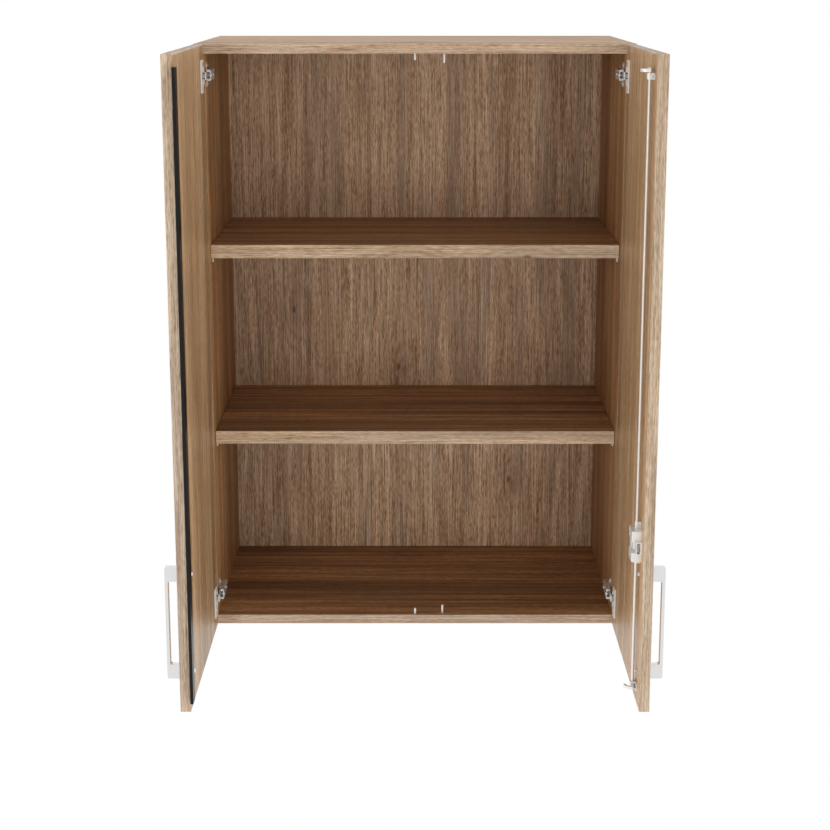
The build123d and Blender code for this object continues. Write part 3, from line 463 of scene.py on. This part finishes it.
# Metals: the colour barely varies, so what shows is how sharp the reflections are and where they waver.
# The marks are noise of the grit's size along X, Y and Z, in millimetres. Blasting, grinding and drawing
# leave marks of about 0.1 mm, too fine to show, so all are drawn coarser than that.
metalMarks = {"detail": 3.0, "calm": 0.3, "strong": 0.7, "bump": 0.06}
metalFinishes = [
    {
        "name": "nickel plated steel",        # pressed sheet, bright with a soft blur
        "pieces": ("hinge_plates_left", "hinge_plates_right", "hinge_arms_left", "hinge_arms_right"),
        "light": "#EAE8E4", "dark": "#DAD7D2", "metallic": 0.65, "roughness": (0.24, 0.36),
        "grit": (6.0, 6.0, 6.0), "depth": 0.01,
    },
    {
        "name": "matt nickel plated steel",   # blasted before plating: pale, hardly mirrors
        "pieces": ("hinge_cups_left", "hinge_cups_right", "shelf_supports", "handle_screws_left",
                   "handle_screws_right"),
        "light": "#F6F5F2", "dark": "#EBE9E5", "metallic": 0.25, "roughness": (0.4, 0.52),
        "grit": (2.0, 2.0, 2.0), "depth": 0.01,
    },
    {
        "name": "zinc plated steel",          # cooler and duller, with a faint crystal mottle
        "pieces": ("hanger_plates", "hanger_screws", "hinge_plate_screws", "hinge_arm_screws",
                   "cup_screws_left", "cup_screws_right", "lock_case_screws", "rod_guide_screws",
                   "hinge_pins_left", "hinge_pins_right"),
        "light": "#CFD2D4", "dark": "#B4B8BB", "metallic": 1.0, "roughness": (0.32, 0.46),
        "grit": (3.0, 3.0, 3.0), "depth": 0.01,
    },
    {
        "name": "satin die-cast zinc",        # tumbled casting, pale with an even satin sheen
        "pieces": ("lock_case", "rod_guide_upper", "rod_guide_lower", "rod_hooks", "lock_rotor"),
        "light": "#EDEDEB", "dark": "#DFDFDC", "metallic": 0.5, "roughness": (0.34, 0.44),
        "grit": (1.2, 1.2, 1.2), "depth": 0.02,
    },
    {
        "name": "satin anodised aluminium",   # ground along its length, then anodised
        "pieces": ("handle_left", "handle_right"),
        "light": "#EBEBEB", "dark": "#DDDDDE", "metallic": 1.0, "roughness": (0.26, 0.38),
        "grit": (0.7, 0.7, 40.0), "depth": 0.01,
    },
    {
        "name": "bright drawn steel",         # drawn bar, faint lines along its length
        "pieces": ("locking_rod", "lock_pins", "stop_pins"),
        "light": "#ECEBE9", "dark": "#E0DEDB", "metallic": 0.6, "roughness": (0.24, 0.3),
        "grit": (0.6, 0.6, 60.0), "depth": 0.005,
    },
    {
        "name": "turned nickel silver",       # lathe-turned face, bright and finely grained
        "pieces": ("lock_cylinder", "lock_plug"),
        "light": "#D8D6D0", "dark": "#BEBBB4", "metallic": 1.0, "roughness": (0.2, 0.32),
        "grit": (20.0, 0.6, 0.6), "depth": 0.01,
    },
]


def satinMetal(look):
    material = newMaterial(look["name"])
    tree = material.node_tree
    coords = addNode(tree, "TexCoord")
    place = addNode(tree, "Mapping", {
        "Vector": coords.outputs["Object"],
        "Scale": perMetre(*look["grit"]),
    })
    marks = addNode(tree, "TexNoise", {
        "Vector": place.outputs[0],
        "Scale": 1.0,
        "Detail": metalMarks["detail"],
    })
    colour = addNode(tree, "Mix", {
        "Factor": marks.outputs[0],
        "A": linearColour(look["dark"]),
        "B": linearColour(look["light"]),
    }, data_type="RGBA")
    smooth, rough = look["roughness"]
    roughness = addNode(tree, "MapRange", {
        "Value": marks.outputs[0],
        "From Min": metalMarks["calm"],
        "From Max": metalMarks["strong"],
        "To Min": smooth,
        "To Max": rough,
    })
    bump = addNode(tree, "Bump", {
        "Height": marks.outputs[0],
        "Strength": metalMarks["bump"],
        "Distance": look["depth"] * mm,
    })
    shader = addNode(tree, "BsdfPrincipled", {
        "Base Color": colour.outputs["Result"],
        "Metallic": look["metallic"],
        "Roughness": roughness.outputs[0],
        "Normal": bump.outputs[0],
    })
    return closeMaterial(material, shader)


for finish in metalFinishes:
    dress(satinMetal(finish), *finish["pieces"])
print("metal fittings dressed")


# Black meeting strip: extruded PVC with a satin skin, and faint lines drawn along it by the die.
# Sizes are millimetres, and the lines are some four times too wide, so that they show.
stripLook = {
    "light": "#121313", "dark": "#090A0A", "roughness": 0.34, "specular": 0.2,
    "lines": (0.8, 0.8, 90.0), "lineDetail": 2.0, "lineDepth": 0.02, "lineBump": 0.25,
}


def blackPvc(look):
    material = newMaterial("extruded black PVC")
    tree = material.node_tree
    coords = addNode(tree, "TexCoord")
    place = addNode(tree, "Mapping", {
        "Vector": coords.outputs["Object"],
        "Scale": perMetre(*look["lines"]),
    })
    lines = addNode(tree, "TexNoise", {
        "Vector": place.outputs[0],
        "Scale": 1.0,
        "Detail": look["lineDetail"],
    })
    colour = addNode(tree, "Mix", {
        "Factor": lines.outputs[0],
        "A": linearColour(look["dark"]),
        "B": linearColour(look["light"]),
    }, data_type="RGBA")
    bump = addNode(tree, "Bump", {
        "Height": lines.outputs[0],
        "Strength": look["lineBump"],
        "Distance": look["lineDepth"] * mm,
    })
    shader = addNode(tree, "BsdfPrincipled", {
        "Base Color": colour.outputs["Result"],
        "Roughness": look["roughness"],
        "Specular IOR Level": look["specular"],
        "Normal": bump.outputs[0],
    })
    return closeMaterial(material, shader)


dress(blackPvc(stripLook), "meeting_strip")
print("strip dressed")


# Studio: pale floor far below the hanging cabinet, even light all round, soft lamps on every side.
# Lengths are metres, and lamp powers watts.
studio = {
    "floorDrop": 1.3,            # from the cabinet's base down to the floor
    "floorSize": 30.0,
    "floorColour": "#FAFAFA",
    "shadowReach": (0.6, 1.4),   # shadows show inside the first, and past the second the floor is white
    "shadowLift": 0.4,
    "skyLevel": 0.44,
}
lampSet = {
    "front_left_softbox": {
        "size": (0.7, 2.2), "place": (-1.0, -4.6, -0.6), "aim": (0.0, -0.6, -0.5), "power": 16.0,
    },
    "front_right_softbox": {
        "size": (0.7, 2.2), "place": (1.0, -4.6, -0.6), "aim": (0.0, -0.6, -0.5), "power": 16.0,
    },
    "left_softbox": {
        "size": (2.4, 2.4), "place": (-3.8, -2.2, -0.2), "aim": (0.0, -0.6, -0.4), "power": 120.0,
    },
    "right_softbox": {
        "size": (2.4, 2.4), "place": (3.8, -2.2, -0.2), "aim": (0.0, -0.6, -0.4), "power": 120.0,
    },
    "rear_softbox": {
        "size": (3.0, 2.0), "place": (0.0, 4.2, 1.2), "aim": (0.0, 0.0, -0.5), "power": 90.0,
    },
    "top_softbox": {
        "size": (2.4, 2.0), "place": (0.0, 0.4, 3.0), "aim": (0.0, -0.1, 0.0), "power": 26.0,
    },
}


# 1 for what the eye sees, straight, mirrored or through glass, and 0 for light that falls on things
def seenRays(tree):
    path = addNode(tree, "LightPath")
    mirrored = addNode(tree, "Math", {
        0: path.outputs["Is Camera Ray"],
        1: path.outputs["Is Glossy Ray"],
    }, operation="MAXIMUM")
    return addNode(tree, "Math", {
        0: mirrored.outputs[0],
        1: path.outputs["Is Transmission Ray"],
    }, operation="MAXIMUM").outputs[0]


floorZ = cadBox[0].z - studio["floorDrop"]
bpy.ops.mesh.primitive_grid_add(x_subdivisions=2, y_subdivisions=2, size=studio["floorSize"])
floor = bpy.context.object
floor.name = "studio_floor"
floor.location = (0.0, 0.0, floorZ)
floorPaint = newMaterial("matt white floor")
floorTree = floorPaint.node_tree
floorCoords = addNode(floorTree, "TexCoord")
floorDistance = addNode(floorTree, "VectorMath", {0: floorCoords.outputs["Object"]}, operation="LENGTH")
floorFade = addNode(floorTree, "MapRange", {
    "Value": floorDistance.outputs["Value"],
    "From Min": studio["shadowReach"][0],
    "From Max": studio["shadowReach"][1],
    "To Min": studio["shadowLift"],
    "To Max": 1.0,
})
floorGlow = addNode(floorTree, "Math", {
    0: floorFade.outputs[0],
    1: seenRays(floorTree),
}, operation="MULTIPLY")
floorMatt = addNode(floorTree, "BsdfDiffuse", {"Color": linearColour(studio["floorColour"])})
floorWhite = addNode(floorTree, "Emission", {"Color": white, "Strength": 1.0})
floorBoth = addNode(floorTree, "MixShader", {
    0: floorGlow.outputs[0],
    1: floorMatt.outputs[0],
    2: floorWhite.outputs[0],
})
floor.data.materials.append(closeMaterial(floorPaint, floorBoth))

sky = bpy.data.worlds.new("studio_sky")
bpy.context.scene.world = sky
sky.use_nodes = True
skyTree = sky.node_tree
skyTree.nodes.clear()
skyStrength = addNode(skyTree, "MapRange", {
    "Value": seenRays(skyTree),
    "To Min": studio["skyLevel"],
    "To Max": 1.0,
})
skyLight = addNode(skyTree, "Background", {"Color": white, "Strength": skyStrength.outputs[0]})
addNode(skyTree, "OutputWorld", {"Surface": skyLight.outputs[0]})

for lampName, lamp in lampSet.items():
    lampData = bpy.data.lights.new(lampName, "AREA")
    lampData.shape = "RECTANGLE"
    lampData.size, lampData.size_y = lamp["size"]
    lampData.energy = lamp["power"]
    softbox = bpy.data.objects.new(lampName, lampData)
    softbox.location = lamp["place"]
    lampLine = Vector(lamp["aim"]) - Vector(lamp["place"])
    softbox.rotation_euler = lampLine.to_track_quat("-Z", "Y").to_euler()
    softbox.visible_camera = False
    softbox.visible_glossy = False
    bpy.context.scene.collection.objects.link(softbox)
bpy.context.scene.view_settings.view_transform = "Standard"
print("studio lit")


# Camera: straight in front, a little above the cabinet's top
cameraSet = {
    "place": (0.0, -3.478, 0.185),   # metres
    "tiltDown": 12.08,               # degrees
    "lens": 72.5,                    # millimetres, as is the sensor
    "sensor": 36.0,
    "shiftY": -0.095,
}
cameraData = bpy.data.cameras.new("photo_camera")
cameraData.lens = cameraSet["lens"]
cameraData.sensor_width = cameraSet["sensor"]
cameraData.shift_y = cameraSet["shiftY"]
camera = bpy.data.objects.new("photo_camera", cameraData)
camera.location = cameraSet["place"]
camera.rotation_euler = (math.radians(90.0 - cameraSet["tiltDown"]), 0.0, 0.0)
bpy.context.scene.collection.objects.link(camera)
bpy.context.scene.camera = camera
print("camera set")
